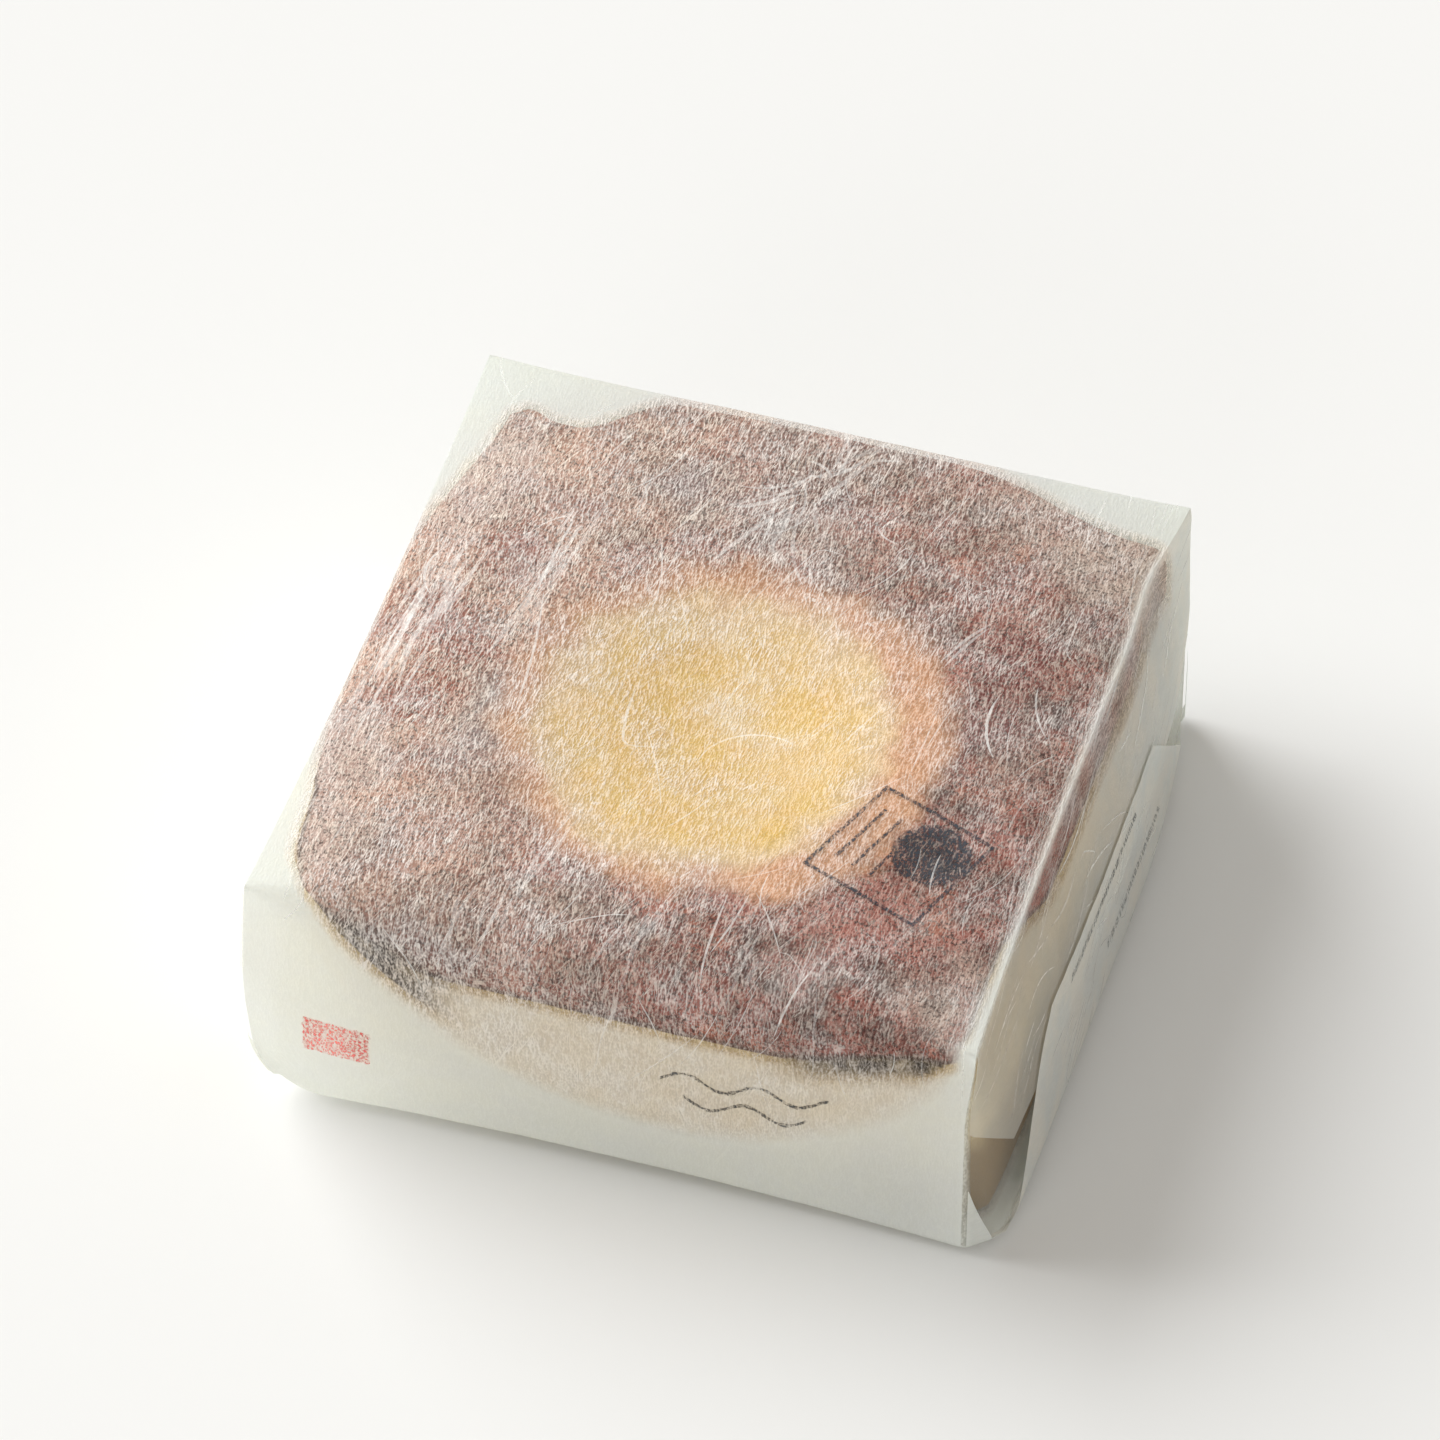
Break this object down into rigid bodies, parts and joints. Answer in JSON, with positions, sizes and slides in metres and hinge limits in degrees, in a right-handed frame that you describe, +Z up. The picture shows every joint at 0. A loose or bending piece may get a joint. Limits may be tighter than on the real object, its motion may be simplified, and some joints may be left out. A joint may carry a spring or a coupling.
{
  "type": "wrapped castella",
  "caption": "Square castella sponge cake folded into a sheet of thin, see-through soft paper with tucked ends, resting on its base.",
  "frame": {"origin": "middle of the bounding box, at the level of the surface the pack rests on", "axes": "+Z up; +X to the pack's right end, the one with the looser bottom flap; -Y to its front"},
  "size_m": [0.109, 0.1072, 0.0412],
  "materials": {
    "paper": "thin matt fibrous paper, see-through where it touches the cake",
    "crust": "matt browned sponge crust, mottled",
    "middle": "soft pale yellow sponge",
    "crumb": "fine open sponge crumb",
    "fibre": "silky long plant fibres in the sheet",
    "ink": "matt printed ink"
  },
  "bodies": {
    "root": {"wrapped_castella": "paper"}
  },
  "joints": []
}
